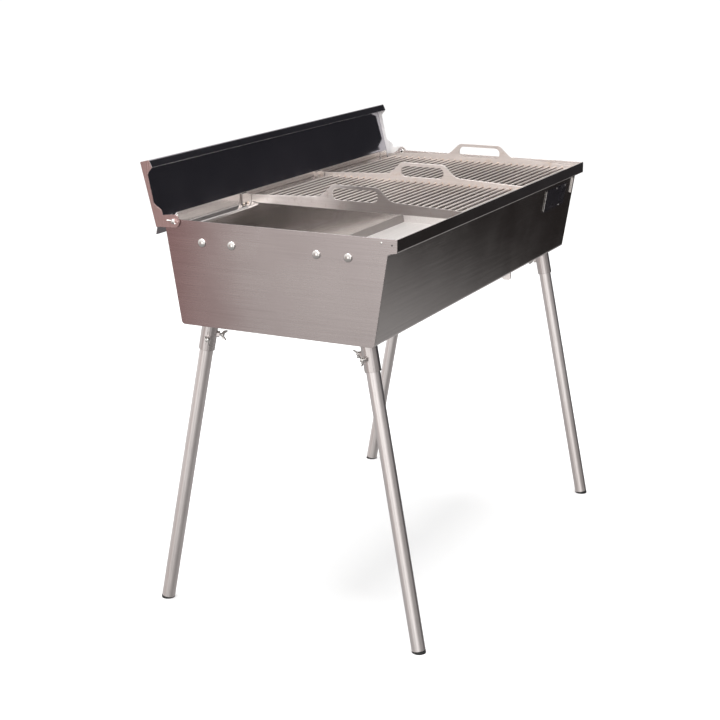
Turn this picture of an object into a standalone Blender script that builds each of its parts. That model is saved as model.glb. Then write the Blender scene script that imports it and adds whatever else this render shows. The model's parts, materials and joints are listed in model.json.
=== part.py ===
"""Charcoal spit roaster: a steel trough with a coal tray, lift-out grates, a wind shield and clamped legs.

Frame: +X runs along the trough, -Y is the front and +Z is up. The origin is on the ground, under the middle.
"""

import math

import bmesh
import bpy
from mathutils import Matrix, Vector

MM = 0.001
GAP = 0.3 * MM                       # clearance between neighbouring pieces

# Trough
HALF_LENGTH = 600 * MM               # outer face of an end plate
SHEET = 2 * MM
RIM_Y = 300 * MM                     # outer face of a rim
RIM_TOP = 956 * MM
RIM_BOTTOM = 927 * MM
SHELF_Y = 278 * MM                   # outer corner where a wall turns out into its shelf
SHELF_Z = 922.5 * MM
FLOOR_Y = 245 * MM
FLOOR_Z = 714 * MM                   # underside of the floor
FLOOR_BEND = 8 * MM
RIM_BEND = 4 * MM
WALL_LEAN = (SHELF_Y - FLOOR_Y) / (SHELF_Z - FLOOR_Z)
REAR_RIM_LEFT = 532 * MM             # the rear shelf's ends, measured from the middle
REAR_RIM_RIGHT = 588 * MM

# Coal tray
TRAY_FLOOR = 742.5 * MM              # underside of the tray
TRAY_TOP = 767 * MM
TRAY_SHEET = 1.5 * MM
TRAY_CLEARANCE = 1 * MM              # to the trough's walls and end plates
TRAY_RIB_X = (-400 * MM, 0, 400 * MM)
TRAY_RIB_HALF = 200 * MM
TRAY_RIB_THICK = 2 * MM

# Cup-head bolts in the end plates
BOLT_Y = (-184 * MM, -107 * MM, 107 * MM, 184 * MM)
BOLT_Z = 908 * MM
BOLT_SHANK = 4 * MM
CUP_RADIUS = 10 * MM
CUP_HEIGHT = 5 * MM
STRIP_LENGTH = 106 * MM
STRIP_WIDTH = 24 * MM
STRIP_THICK = 4 * MM

# Wind shield and its hinges
PIVOT_Y = 255 * MM
PIVOT_Z = 952 * MM
PIVOT_RADIUS = 3 * MM
STUD_HEAD = 1.6 * MM
EAR_RADIUS = 13 * MM
EYE_RADIUS = 15 * MM
SHIELD_FOOT = (302.7 * MM, 933 * MM)
SHIELD_HEEL = (305.9 * MM, 917.7 * MM)
SHIELD_TOP_REAR = (339.9 * MM, 1080.2 * MM)
SHIELD_TOP_FRONT = (316.8 * MM, 1085.9 * MM)
SHIELD_LIP_END = (309.3 * MM, 1069.3 * MM)
SIDE_INNER_X = 601.5 * MM            # inner face of a shield side plate

# Grates
GRATE_LENGTH = 389 * MM
GRATE_SPACING = 4 * MM               # between the centres of the two middle plates
GRATE_END_X = 594 * MM               # centre of the plate at the right end
GRATE_Y = 8 * MM                     # the grates are pushed against the rear rim
GRATE_HALF_WIDTH = 289 * MM
PLATE_THICK = 3 * MM
PLATE_TOP = 945 * MM                 # at the plate's two ends
SHOULDER_TOP = 954 * MM              # where the plate rises into its handle
PLATE_BOTTOM = 926 * MM
HANDLE_TOP = 986 * MM
HANDLE_BASE_HALF = 95 * MM
HANDLE_TOP_HALF = 61.7 * MM
SLOT_HALF = 61.5 * MM
SLOT_BOTTOM = 949 * MM
SLOT_TOP = 978 * MM
BAR_COUNT = 29
BAR_PITCH = 19.1 * MM
BAR_RADIUS = 3.5 * MM
BAR_Z = 937 * MM
CROSS_FLAT_BOTTOM = 927.5 * MM
CROSS_FLAT_THICK = 4 * MM
CROSS_FLAT_INSET = 95 * MM

# Grate stops on the rear shelf
STOP_LENGTH = 33 * MM
STOP_OFFSET = 52 * MM                # from a plate's centre to the far end of its stop
STOP_HEIGHT = 24 * MM
STOP_THICK = 4 * MM

# Legs
FOOT_X = 565 * MM
FOOT_Y = 340 * MM
SOCKET_X = 546 * MM
SOCKET_Y = 216 * MM
SOCKET_Z = 645 * MM                  # centre of a socket's lower end
SOCKET_RADIUS = 19 * MM
SOCKET_BORE = 16.5 * MM
LEG_RADIUS = 16 * MM
LEG_BORE = 14.5 * MM
LEG_TOP_BELOW_FLOOR = 3.7 * MM
CAP_RIM = 5 * MM
CAP_PLUG = 18 * MM
BOSS_HALF_FLATS = 6.5 * MM
BOSS_DEPTH = 6 * MM
WING_SCREW_RADIUS = 3.6 * MM
WING_SCREW_TURN = {-1: math.radians(9), 1: math.radians(27)}   # of the outer screw, front and rear
WING_SCREW_HEIGHTS = (32 * MM, 40 * MM)

# Name plate, clip and floor tab
NAME_PLATE_X = (376 * MM, 530 * MM)
NAME_PLATE_Z = (849 * MM, 907 * MM)
NAME_PLATE_THICK = 1.5 * MM
CLIP_X = (580.5 * MM, 588.5 * MM)
CLIP_Z = (872 * MM, 914 * MM)
CLIP_THICK = 3 * MM
TAB_X = 240 * MM
TAB_Y = (-232 * MM, -208 * MM)
TAB_BOTTOM = 689 * MM
TAB_THICK = 4 * MM

ROUND_SEGMENTS = 24
SMALL_SEGMENTS = 12
BAR_SEGMENTS = 8
ARC_STEP = math.radians(22)

STEEL = ((0.55, 0.52, 0.50), 1.0, 0.32)
MIRROR_STEEL = ((0.42, 0.42, 0.43), 1.0, 0.12)
GRATE_STEEL = ((0.52, 0.46, 0.42), 1.0, 0.45)
BRIGHT_STEEL = ((0.78, 0.77, 0.75), 1.0, 0.22)
BLACK_PLATE = ((0.015, 0.015, 0.018), 0.0, 0.25)
BLACK_PLASTIC = ((0.02, 0.02, 0.02), 0.0, 0.55)


# ---------------------------------------------------------------- outlines

def arc(centre, radius, start, end):
    """Points on an arc from one angle to the other, both included."""
    steps = max(2, math.ceil(abs(end - start) / ARC_STEP))
    angles = [start + (end - start) * i / steps for i in range(steps + 1)]
    return [Vector((centre[0] + radius * math.cos(a), centre[1] + radius * math.sin(a))) for a in angles]


def circle(centre, radius, segments=SMALL_SEGMENTS):
    angles = [2 * math.pi * i / segments for i in range(segments)]
    return [Vector((centre[0] + radius * math.cos(a), centre[1] + radius * math.sin(a))) for a in angles]


def rounded_corner(before, corner, after, radius):
    """The corner's point, or the arc of the given radius that rounds it."""
    corner = Vector(corner)
    if radius == 0:
        return [corner]
    back = (Vector(before) - corner).normalized()
    ahead = (Vector(after) - corner).normalized()
    half_angle = back.angle(ahead) / 2
    centre = corner + (back + ahead).normalized() * radius / math.sin(half_angle)
    reach = radius / math.tan(half_angle)
    first = corner + back * reach - centre
    last = corner + ahead * reach - centre
    turn = math.remainder(math.atan2(last.y, last.x) - math.atan2(first.y, first.x), 2 * math.pi)
    start = math.atan2(first.y, first.x)
    return arc(centre, radius, start, start + turn)


def closed_outline(corners):
    """A closed outline from (u, v, radius) corners."""
    points = []
    for i, (u, v, radius) in enumerate(corners):
        before = corners[i - 1][:2]
        after = corners[(i + 1) % len(corners)][:2]
        points += rounded_corner(before, (u, v), after, radius)
    return points


def open_path(corners):
    """An open path from (u, v, radius) corners; the two ends stay sharp."""
    points = [Vector(corners[0][:2])]
    for before, corner, after in zip(corners, corners[1:], corners[2:]):
        points += rounded_corner(before[:2], corner[:2], after[:2], corner[2])
    points.append(Vector(corners[-1][:2]))
    return points


def sheet_outline(path, thickness):
    """The closed section of a sheet whose outer face is the path and whose body lies to the path's left."""
    inner = []
    for i, point in enumerate(path):
        along_in = (point - path[i - 1]).normalized() if i > 0 else None
        along_out = (path[i + 1] - point).normalized() if i + 1 < len(path) else None
        along_in = along_in or along_out
        along_out = along_out or along_in
        normal = Vector((-along_in.y - along_out.y, along_in.x + along_out.x)).normalized()
        mitre = normal.dot(Vector((-along_in.y, along_in.x)))
        inner.append(point + normal * thickness / mitre)
    return list(path) + inner[::-1]


# ---------------------------------------------------------------- solids

def finish(bm, merge=0.0):
    if merge:
        bmesh.ops.remove_doubles(bm, verts=bm.verts, dist=merge)
    bmesh.ops.recalc_face_normals(bm, faces=bm.faces)
    return bm


def plate_solid(outline, holes, low, high):
    """A flat plate across X: an outline in Y and Z, with holes, between two X values."""
    bm = bmesh.new()
    edges = []
    for loop in [outline] + holes:
        verts = [bm.verts.new((low, p[0], p[1])) for p in loop]
        edges += [bm.edges.new((verts[i - 1], verts[i])) for i in range(len(verts))]
    bmesh.ops.triangle_fill(bm, edges=edges, use_beauty=True, use_dissolve=False)
    faces = bmesh.ops.extrude_face_region(bm, geom=list(bm.faces))["geom"]
    moved = [item for item in faces if isinstance(item, bmesh.types.BMVert)]
    bmesh.ops.translate(bm, verts=moved, vec=(high - low, 0, 0))
    return finish(bm)


def block_solid(low, high):
    bm = bmesh.new()
    size = Vector(high) - Vector(low)
    middle = (Vector(high) + Vector(low)) / 2
    bmesh.ops.create_cube(bm, size=1, matrix=Matrix.Translation(middle) @ Matrix.Diagonal((*size, 1)))
    return finish(bm)


def turned_solid(profile, segments=SMALL_SEGMENTS):
    """A body of revolution about Z from an (r, z) profile, closed on the axis."""
    bm = bmesh.new()
    verts = [bm.verts.new((r, 0, z)) for r, z in profile]
    edges = [bm.edges.new(pair) for pair in zip(verts, verts[1:])]
    bmesh.ops.spin(bm, geom=verts + edges, cent=(0, 0, 0), axis=(0, 0, 1), angle=2 * math.pi,
                   steps=segments, use_merge=True)
    return finish(bm, merge=1e-6)


def cylinder_solid(radius, low, high, segments=SMALL_SEGMENTS):
    return turned_solid([(0, low), (radius, low), (radius, high), (0, high)], segments)


def ring_solid(base, direction, rings, closed, segments=ROUND_SEGMENTS):
    """A round body along a slanted axis. Each ring is (radius, point on its plane, plane normal)."""
    turn = Vector((0, 0, 1)).rotation_difference(direction)
    bm = bmesh.new()
    loops = []
    for radius, plane_point, normal in rings:
        loop = []
        for i in range(segments):
            angle = 2 * math.pi * i / segments
            start = base + turn @ Vector((radius * math.cos(angle), radius * math.sin(angle), 0))
            reach = (Vector(plane_point) - start).dot(normal) / direction.dot(normal)
            loop.append(bm.verts.new(start + direction * reach))
        loops.append(loop)
    if closed:
        loops.append(loops[0])
    for lower, upper in zip(loops, loops[1:]):
        for i in range(segments):
            bm.faces.new((lower[i - 1], lower[i], upper[i], upper[i - 1]))
    if not closed:
        bm.faces.new(loops[0])
        bm.faces.new(loops[-1])
    return finish(bm)


def bar_solid(radius, low, high, y, z, segments=BAR_SEGMENTS):
    """A round bar along X."""
    place = Matrix.Translation((0, y, z)) @ Matrix.Rotation(math.pi / 2, 4, "Y")
    bm = cylinder_solid(radius, low, high, segments)
    bm.transform(place)
    return bm


# ---------------------------------------------------------------- objects

def clear_scene():
    for item in list(bpy.data.objects):
        bpy.data.objects.remove(item, do_unlink=True)


def object_from(bm, name):
    mesh = bpy.data.meshes.new(name)
    bm.to_mesh(mesh)
    bm.free()
    item = bpy.data.objects.new(name, mesh)
    bpy.context.scene.collection.objects.link(item)
    return item


def combined_mesh(name, first, steps):
    """The mesh of a solid after a list of (operation, solid) Boolean steps."""
    base = object_from(first, name + "_base")
    tools = []
    for operation, solid in steps:
        tool = object_from(solid, name + "_tool")
        modifier = base.modifiers.new(operation, "BOOLEAN")
        modifier.operation = operation
        modifier.solver = "EXACT"
        modifier.object = tool
        tools.append(tool)
    evaluated = base.evaluated_get(bpy.context.evaluated_depsgraph_get())
    mesh = bpy.data.meshes.new_from_object(evaluated)
    for item in [base] + tools:
        bpy.data.objects.remove(item, do_unlink=True)
    mesh.name = name
    return mesh


def add_piece(name, shape, finish_values, place=None, smooth=False):
    """One named sub-part from a solid or a ready mesh, with its own material."""
    colour, metallic, roughness = finish_values
    if isinstance(shape, bmesh.types.BMesh):
        item = object_from(shape, name)
    else:
        item = bpy.data.objects.new(name, shape)
        bpy.context.scene.collection.objects.link(item)
    if smooth:
        item.data.shade_smooth()
        item.data.set_sharp_from_angle(angle=math.radians(35))
    material = bpy.data.materials.new(name)
    material.use_nodes = True
    shader = material.node_tree.nodes["Principled BSDF"]
    shader.inputs["Base Color"].default_value = (*colour, 1)
    shader.inputs["Metallic"].default_value = metallic
    shader.inputs["Roughness"].default_value = roughness
    if not item.data.materials:
        item.data.materials.append(None)
    item.material_slots[0].link = "OBJECT"
    item.material_slots[0].material = material
    if place is not None:
        item.matrix_world = place
    return item


def add_empty(name, place):
    empty = bpy.data.objects.new(name, None)
    empty.matrix_world = place
    bpy.context.scene.collection.objects.link(empty)
    return empty


def put_under(parent, items):
    """Parent the items without moving them."""
    bpy.context.view_layer.update()
    for item in items:
        item.parent = parent
        item.matrix_parent_inverse = parent.matrix_world.inverted()


def placed_along(point, direction):
    """A placement whose local Z runs along the direction and whose local X stays as upright as it can."""
    z_axis = Vector(direction).normalized()
    up = Vector((0, 0, 1))
    x_axis = (up - z_axis * up.dot(z_axis)).normalized()
    y_axis = z_axis.cross(x_axis)
    turn = Matrix((x_axis, y_axis, z_axis)).transposed().to_4x4()
    return Matrix.Translation(point) @ turn


# ---------------------------------------------------------------- trough

def trough_section():
    """The folded sheet: front rim, shelf, wall, floor, wall, shelf and rear rim."""
    rear = [(FLOOR_Y, FLOOR_Z, FLOOR_BEND), (SHELF_Y, SHELF_Z, RIM_BEND), (RIM_Y, RIM_BOTTOM, RIM_BEND),
            (RIM_Y, RIM_TOP, 0)]
    front = [(-y, z, radius) for y, z, radius in reversed(rear)]
    return sheet_outline(open_path(front + rear), SHEET)


def hinge_relief(side, edge):
    """Cuts the rear shelf and rim away beside an end plate, with a rounded top corner left on the rim."""
    corner = 12 * MM
    outer = HALF_LENGTH + 10 * MM
    above = RIM_TOP + 20 * MM
    profile = [(edge, SHELF_Z - MM), (edge, RIM_TOP - corner)]
    profile += [tuple(p) for p in arc((edge - corner, RIM_TOP - corner), corner, 0, math.pi / 2)][1:]
    profile += [(edge - corner, above), (outer, above), (outer, SHELF_Z - MM)]
    bm = bmesh.new()
    near = [bm.verts.new((side * x, SHELF_Y - 8 * MM, z)) for x, z in profile]
    face = bm.faces.new(near)
    moved = bmesh.ops.extrude_face_region(bm, geom=[face])["geom"]
    verts = [item for item in moved if isinstance(item, bmesh.types.BMVert)]
    bmesh.ops.translate(bm, verts=verts, vec=(0, 40 * MM, 0))
    return finish(bm)


def build_trough():
    reach = HALF_LENGTH - SHEET - GAP
    body = plate_solid(trough_section(), [], -reach, reach)
    ends = ((-1, REAR_RIM_LEFT), (1, REAR_RIM_RIGHT))
    cuts = [("DIFFERENCE", hinge_relief(side, edge)) for side, edge in ends]
    add_piece("trough_shell", combined_mesh("trough_shell", body, cuts), STEEL, smooth=True)


def tray_outline(low, high, inset):
    """The section between two heights, its sides parallel to the trough's walls."""
    def side(z):
        return FLOOR_Y + WALL_LEAN * (z - FLOOR_Z) - SHEET * math.hypot(1, WALL_LEAN) - inset
    return [Vector((-side(low), low)), Vector((side(low), low)), Vector((side(high), high)),
            Vector((-side(high), high))]


def build_coal_tray():
    """A shallow pan that stands on three cross ribs on the trough's floor."""
    reach = HALF_LENGTH - SHEET - TRAY_CLEARANCE
    inner_floor = TRAY_FLOOR + TRAY_SHEET
    pan = plate_solid(tray_outline(TRAY_FLOOR, TRAY_TOP, TRAY_CLEARANCE), [], -reach, reach)
    hollow = plate_solid(tray_outline(inner_floor, TRAY_TOP + 5 * MM, TRAY_CLEARANCE + TRAY_SHEET), [],
                         TRAY_SHEET - reach, reach - TRAY_SHEET)
    steps = [("DIFFERENCE", hollow)]
    for x in TRAY_RIB_X:
        low = (x - TRAY_RIB_THICK / 2, -TRAY_RIB_HALF, FLOOR_Z + SHEET + GAP)
        high = (x + TRAY_RIB_THICK / 2, TRAY_RIB_HALF, TRAY_FLOOR + TRAY_SHEET / 2)
        steps.append(("UNION", block_solid(low, high)))
    add_piece("coal_tray", combined_mesh("coal_tray", pan, steps), STEEL)


def end_plate_outline():
    """The trough's outer section closed along the top, with a tab behind the front rim and a hinge ear."""
    rear_lean_y = SHELF_Y + WALL_LEAN * (RIM_TOP - 8 * MM - SHELF_Z)
    corners = [
        (-RIM_Y, RIM_TOP, 0),
        (-RIM_Y, RIM_BOTTOM, 2 * MM),
        (-SHELF_Y, SHELF_Z, 5 * MM),
        (-FLOOR_Y, FLOOR_Z, FLOOR_BEND),
        (FLOOR_Y, FLOOR_Z, FLOOR_BEND),
        (rear_lean_y, RIM_TOP - 8 * MM, 4 * MM),
    ]
    ear_start = math.radians(12)
    ear_end = math.pi - math.asin((RIM_TOP - PIVOT_Z) / EAR_RADIUS)
    return closed_outline(corners) + arc((PIVOT_Y, PIVOT_Z), EAR_RADIUS, ear_start, ear_end)


def build_end_plate(name, side):
    holes = [circle((y, BOLT_Z), BOLT_SHANK + GAP) for y in BOLT_Y]
    holes.append(circle((PIVOT_Y, PIVOT_Z), PIVOT_RADIUS + GAP))
    low, high = sorted((side * (HALF_LENGTH - SHEET), side * HALF_LENGTH))
    add_piece(name, plate_solid(end_plate_outline(), holes, low, high), STEEL, smooth=True)


def cup_bolt_mesh():
    """A cup-head bolt along Z with the underside of its head at zero."""
    dome = [(CUP_RADIUS * math.cos(a), 0.6 * MM + (CUP_HEIGHT - 0.6 * MM) * math.sin(a))
            for a in (math.pi / 2 * i / 4 for i in range(5))]
    tip = -(SHEET + STRIP_THICK + 2 * MM)
    profile = [(0, tip), (BOLT_SHANK, tip), (BOLT_SHANK, 0), (CUP_RADIUS, 0)] + dome[:-1] + [(0, CUP_HEIGHT)]
    return combined_mesh("cup_bolt", turned_solid(profile, 16), [])


def build_end_bolts(end, side, mesh):
    for number, y in enumerate(BOLT_Y, start=1):
        place = placed_along((side * (HALF_LENGTH + GAP), y, BOLT_Z), (side, 0, 0))
        add_piece(f"cup_bolt_{end}_{number}", mesh, BRIGHT_STEEL, place, smooth=True)
    face = HALF_LENGTH - SHEET - GAP
    low, high = sorted((side * (face - STRIP_THICK), side * face))
    for row, pair in (("front", BOLT_Y[:2]), ("rear", BOLT_Y[2:])):
        middle = sum(pair) / 2
        half = STRIP_LENGTH / 2
        bottom, top = BOLT_Z - STRIP_WIDTH / 2, BOLT_Z + STRIP_WIDTH / 2
        corner = 4 * MM
        outline = closed_outline([(middle - half, bottom, corner), (middle + half, bottom, corner),
                                  (middle + half, top, corner), (middle - half, top, corner)])
        holes = [circle((y, BOLT_Z), BOLT_SHANK + GAP) for y in pair]
        add_piece(f"backing_strip_{end}_{row}", plate_solid(outline, holes, low, high), STEEL)


# ---------------------------------------------------------------- wind shield

def build_shield_panel():
    """The long bent sheet: turned-out heel, leaning panel, top flange and front lip."""
    bend = 3 * MM
    path = open_path([(*SHIELD_HEEL, 0), (*SHIELD_FOOT, bend), (*SHIELD_TOP_REAR, bend),
                      (*SHIELD_TOP_FRONT, bend), (*SHIELD_LIP_END, 0)])
    reach = SIDE_INNER_X - GAP
    return add_piece("wind_shield_panel", plate_solid(sheet_outline(path, SHEET), [], -reach, reach),
                     MIRROR_STEEL, smooth=True)


def side_plate_outline():
    """The narrow side of the shield, widening at the bottom into the pivot eye."""
    corners = [
        (*SHIELD_FOOT, 1 * MM),
        (*SHIELD_TOP_REAR, 2 * MM),
        (*SHIELD_TOP_FRONT, 2 * MM),
        (*SHIELD_LIP_END, 1 * MM),
        (321.4 * MM, 1055.4 * MM, 6 * MM),
        (307.3 * MM, 986.9 * MM, 12 * MM),
        (282.3 * MM, 971.5 * MM, 10 * MM),
    ]
    eye = arc((PIVOT_Y, PIVOT_Z), EYE_RADIUS, math.radians(75), math.radians(275))
    return closed_outline(corners) + eye


def build_side_plate(name, side):
    holes = [circle((PIVOT_Y, PIVOT_Z), PIVOT_RADIUS + GAP)]
    low, high = sorted((side * SIDE_INNER_X, side * (SIDE_INNER_X + SHEET)))
    return add_piece(name, plate_solid(side_plate_outline(), holes, low, high), STEEL, smooth=True)


def wing_outline(hub, spread, rise, tip):
    """Both wings in one flat outline: along U across the axis, along V outward."""
    half = [(0, 1 * MM, 0), (hub, 1 * MM, 0), (spread + tip * 0.6, rise - tip, tip * 0.9),
            (spread - tip, rise + tip * 0.4, tip * 0.9), (hub * 0.6, rise * 0.55, 3 * MM)]
    other = [(-u, v, radius) for u, v, radius in reversed(half[1:])]
    return closed_outline(half + other)


def wing_solid(hub, spread, rise, tip, thickness=2.6 * MM):
    """The flat wings standing along Z, their long side along X."""
    bm = plate_solid(wing_outline(hub, spread, rise, tip), [], -thickness / 2, thickness / 2)
    bm.transform(Matrix.Rotation(math.pi / 2, 4, "Z"))
    return bm


def wing_nut_mesh():
    hub = cylinder_solid(6 * MM, 0, 7 * MM)
    wings = wing_solid(5 * MM, 12 * MM, 15 * MM, 4 * MM)
    bore = cylinder_solid(PIVOT_RADIUS + GAP, -5 * MM, 25 * MM)
    return combined_mesh("wing_nut", hub, [("UNION", wings), ("DIFFERENCE", bore)])


def wing_screw_mesh():
    """A wing screw along Z with its tip at zero."""
    reach = SOCKET_RADIUS + BOSS_DEPTH - LEG_RADIUS
    shank = turned_solid([(0, GAP), (WING_SCREW_RADIUS, GAP), (WING_SCREW_RADIUS, reach + 4 * MM),
                          (5.5 * MM, reach + 4 * MM), (5.5 * MM, reach + 11 * MM), (0, reach + 11 * MM)])
    wings = wing_solid(5 * MM, 12 * MM, 15 * MM, 4 * MM)
    wings.transform(Matrix.Translation((0, 0, reach + 4 * MM)))
    return combined_mesh("wing_screw", shank, [("UNION", wings)])


def hinge_stud(side, inner_face, outer_face):
    """A threaded stud along Z. The right one has a thin flat head inside, clear of the grate beside it."""
    tip = outer_face + 9 * MM
    if side < 0:
        return cylinder_solid(PIVOT_RADIUS, inner_face - 10 * MM, tip)
    head = inner_face - STUD_HEAD
    return turned_solid([(0, head), (7 * MM, head), (7 * MM, inner_face), (PIVOT_RADIUS, inner_face),
                         (PIVOT_RADIUS, tip), (0, tip)])


def build_hinge(end, side, nut_mesh):
    """The stud through the shield's eye and the end plate's ear, and its wing nuts."""
    outer_face = SIDE_INNER_X + SHEET + GAP
    inner_face = HALF_LENGTH - SHEET - GAP
    axis_point = Vector((0, PIVOT_Y, PIVOT_Z))
    stud = hinge_stud(side, inner_face, outer_face)
    add_piece(f"hinge_stud_{end}", stud, BRIGHT_STEEL, placed_along(axis_point, (side, 0, 0)), smooth=True)
    outer = placed_along(axis_point + Vector((side * outer_face, 0, 0)), (side, 0, 0))
    tilt = Matrix.Rotation(math.radians(-72 * side), 4, "Z")
    add_piece(f"outer_wing_nut_{end}", nut_mesh, BRIGHT_STEEL, outer @ tilt, smooth=True)
    if side < 0:
        inner = placed_along(axis_point + Vector((side * inner_face, 0, 0)), (-side, 0, 0))
        add_piece(f"inner_wing_nut_{end}", nut_mesh, BRIGHT_STEEL, inner, smooth=True)


def build_wind_shield():
    pieces = [build_shield_panel()]
    pieces += [build_side_plate(f"shield_side_{end}", side) for end, side in (("left", -1), ("right", 1))]
    hinge = add_empty("wind_shield_hinge", Matrix.Translation((0, PIVOT_Y, PIVOT_Z)))
    put_under(hinge, pieces)


# ---------------------------------------------------------------- grates

def shelf_top(y):
    """Height of the shelf's upper face at a distance from the middle."""
    slope = (RIM_BOTTOM - SHELF_Z) / (RIM_Y - SHELF_Y)
    return SHELF_Z + slope * (y - SHELF_Y) + SHEET * math.hypot(1, slope)


def grate_plate_outline():
    """An end plate with its handle. The rear ear is cut to lie on the sloping shelf."""
    rear = GRATE_Y + GRATE_HALF_WIDTH
    ear_bottom = shelf_top(rear) + 3 * GAP
    slope = (RIM_BOTTOM - SHELF_Z) / (RIM_Y - SHELF_Y)
    ear_start = rear - (ear_bottom - PLATE_BOTTOM) / slope
    return closed_outline([
        (GRATE_Y - GRATE_HALF_WIDTH, PLATE_BOTTOM, 0),
        (ear_start, PLATE_BOTTOM, 0),
        (rear, ear_bottom, 0),
        (rear, PLATE_TOP, 2 * MM),
        (GRATE_Y + HANDLE_BASE_HALF, SHOULDER_TOP, 30 * MM),
        (GRATE_Y + HANDLE_TOP_HALF, HANDLE_TOP, 19 * MM),
        (GRATE_Y - HANDLE_TOP_HALF, HANDLE_TOP, 19 * MM),
        (GRATE_Y - HANDLE_BASE_HALF, SHOULDER_TOP, 30 * MM),
        (GRATE_Y - GRATE_HALF_WIDTH, PLATE_TOP, 2 * MM),
    ])


def handle_slot():
    corner = 13 * MM
    return closed_outline([
        (GRATE_Y - SLOT_HALF, SLOT_BOTTOM, corner),
        (GRATE_Y + SLOT_HALF, SLOT_BOTTOM, corner),
        (GRATE_Y + SLOT_HALF, SLOT_TOP, corner),
        (GRATE_Y - SLOT_HALF, SLOT_TOP, corner),
    ])


def grate_rack(low, high):
    """Parallel round bars joined by two flats underneath."""
    first = GRATE_Y - BAR_PITCH * (BAR_COUNT - 1) / 2
    rows = [first + BAR_PITCH * i for i in range(BAR_COUNT)]
    base = bmesh.new()
    flats = []
    for x in (low + CROSS_FLAT_INSET, high - CROSS_FLAT_INSET):
        flats.append(block_solid((x - CROSS_FLAT_THICK / 2, rows[0] - 3 * MM, CROSS_FLAT_BOTTOM),
                                 (x + CROSS_FLAT_THICK / 2, rows[-1] + 3 * MM, BAR_Z - 2.6 * MM)))
    for y in rows:
        bar = bar_solid(BAR_RADIUS, low, high, y, BAR_Z)
        scratch = bpy.data.meshes.new("bar")
        bar.to_mesh(scratch)
        bar.free()
        base.from_mesh(scratch)
        bpy.data.meshes.remove(scratch)
    return combined_mesh("grate_rack", base, [("UNION", flat) for flat in flats])


def build_grate(name, low, high):
    """Two end plates, low and high being their centres, and the rack between them."""
    half = PLATE_THICK / 2
    pieces = []
    for end, x in (("left", low), ("right", high)):
        solid = plate_solid(grate_plate_outline(), [handle_slot()], x - half, x + half)
        pieces.append(add_piece(f"{name}_{end}_plate", solid, GRATE_STEEL, smooth=True))
    rack = grate_rack(low + half + GAP, high - half - GAP)
    pieces.append(add_piece(f"{name}_bars", rack, GRATE_STEEL, smooth=True))
    lift = add_empty(f"{name}_lift", Matrix.Translation(((low + high) / 2, GRATE_Y, PLATE_BOTTOM)))
    put_under(lift, pieces)


def build_grate_stop(name, plate_x):
    """A small upright with one cut corner on the rear shelf, beside a grate plate."""
    low = plate_x - STOP_OFFSET
    high = low + STOP_LENGTH
    back = RIM_Y - SHEET - GAP
    front = back - STOP_THICK
    bottom = shelf_top(back) + 1.5 * MM
    top = bottom + STOP_HEIGHT
    cut = 7 * MM
    bm = bmesh.new()
    profile = [(low, bottom), (high, bottom), (high, top - cut), (high - cut, top), (low, top)]
    face = bm.faces.new([bm.verts.new((x, front, z)) for x, z in profile])
    moved = bmesh.ops.extrude_face_region(bm, geom=[face])["geom"]
    verts = [item for item in moved if isinstance(item, bmesh.types.BMVert)]
    bmesh.ops.translate(bm, verts=verts, vec=(0, back - front, 0))
    add_piece(name, finish(bm), BRIGHT_STEEL)


# ---------------------------------------------------------------- legs

def leg_axis(side_x, side_y):
    """The foot's centre on the ground and the unit direction up the leg."""
    foot = Vector((side_x * FOOT_X, side_y * FOOT_Y, 0))
    mouth = Vector((side_x * SOCKET_X, side_y * SOCKET_Y, SOCKET_Z))
    return foot, mouth, (mouth - foot).normalized()


def screw_directions(side_x, side_y, up):
    """Outward directions of the two clamp screws, square to the leg and to each other."""
    outer = Vector((side_x * math.cos(WING_SCREW_TURN[side_y]), -side_y * math.sin(WING_SCREW_TURN[side_y]), 0))
    outer = (outer - up * outer.dot(up)).normalized()
    inner = up.cross(outer).normalized()
    if inner.y * side_y > 0:
        inner = -inner
    return outer, inner


def socket_mesh(mouth, up, directions):
    """A tube cut flat under the floor, with a hexagonal boss and a hole for each clamp screw."""
    level = Vector((0, 0, 1))
    top = (0, 0, FLOOR_Z - GAP)
    above = (0, 0, FLOOR_Z + 20 * MM)
    below = mouth - up * 20 * MM
    outer = ring_solid(mouth, up, [(SOCKET_RADIUS, mouth, up), (SOCKET_RADIUS, top, level)], False)
    bore = ring_solid(mouth, up, [(SOCKET_BORE, below, up), (SOCKET_BORE, above, level)], False)
    steps = []
    for direction, height in zip(directions, WING_SCREW_HEIGHTS):
        place = placed_along(mouth + up * height, direction)
        reach = SOCKET_RADIUS + BOSS_DEPTH
        boss = cylinder_solid(BOSS_HALF_FLATS / math.cos(math.pi / 6), SOCKET_BORE - 2 * MM, reach, 6)
        boss.transform(place)
        steps.append(("UNION", boss))
    steps.append(("DIFFERENCE", bore))
    for direction, height in zip(directions, WING_SCREW_HEIGHTS):
        hole = cylinder_solid(WING_SCREW_RADIUS + GAP, 10 * MM, 40 * MM)
        hole.transform(placed_along(mouth + up * height, direction))
        steps.append(("DIFFERENCE", hole))
    return combined_mesh("leg_socket", outer, steps)


def leg_tube(foot, mouth, up):
    bottom = foot + up * (CAP_RIM + GAP)
    top_centre = foot + up * ((FLOOR_Z - LEG_TOP_BELOW_FLOOR) / up.z)
    return ring_solid(mouth, up, [(LEG_RADIUS, bottom, up), (LEG_RADIUS, top_centre, up),
                                  (LEG_BORE, top_centre, up), (LEG_BORE, bottom, up)], True)


def foot_cap(foot, up):
    """A plug with a rim; its underside is level with the ground."""
    level = Vector((0, 0, 1))
    rim_top = foot + up * CAP_RIM
    plug_top = foot + up * (CAP_RIM + CAP_PLUG)
    plug = LEG_BORE - GAP
    return ring_solid(foot, up, [(LEG_RADIUS, foot, level), (LEG_RADIUS, rim_top, up),
                                 (plug, rim_top, up), (plug, plug_top, up)], False)


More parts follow.
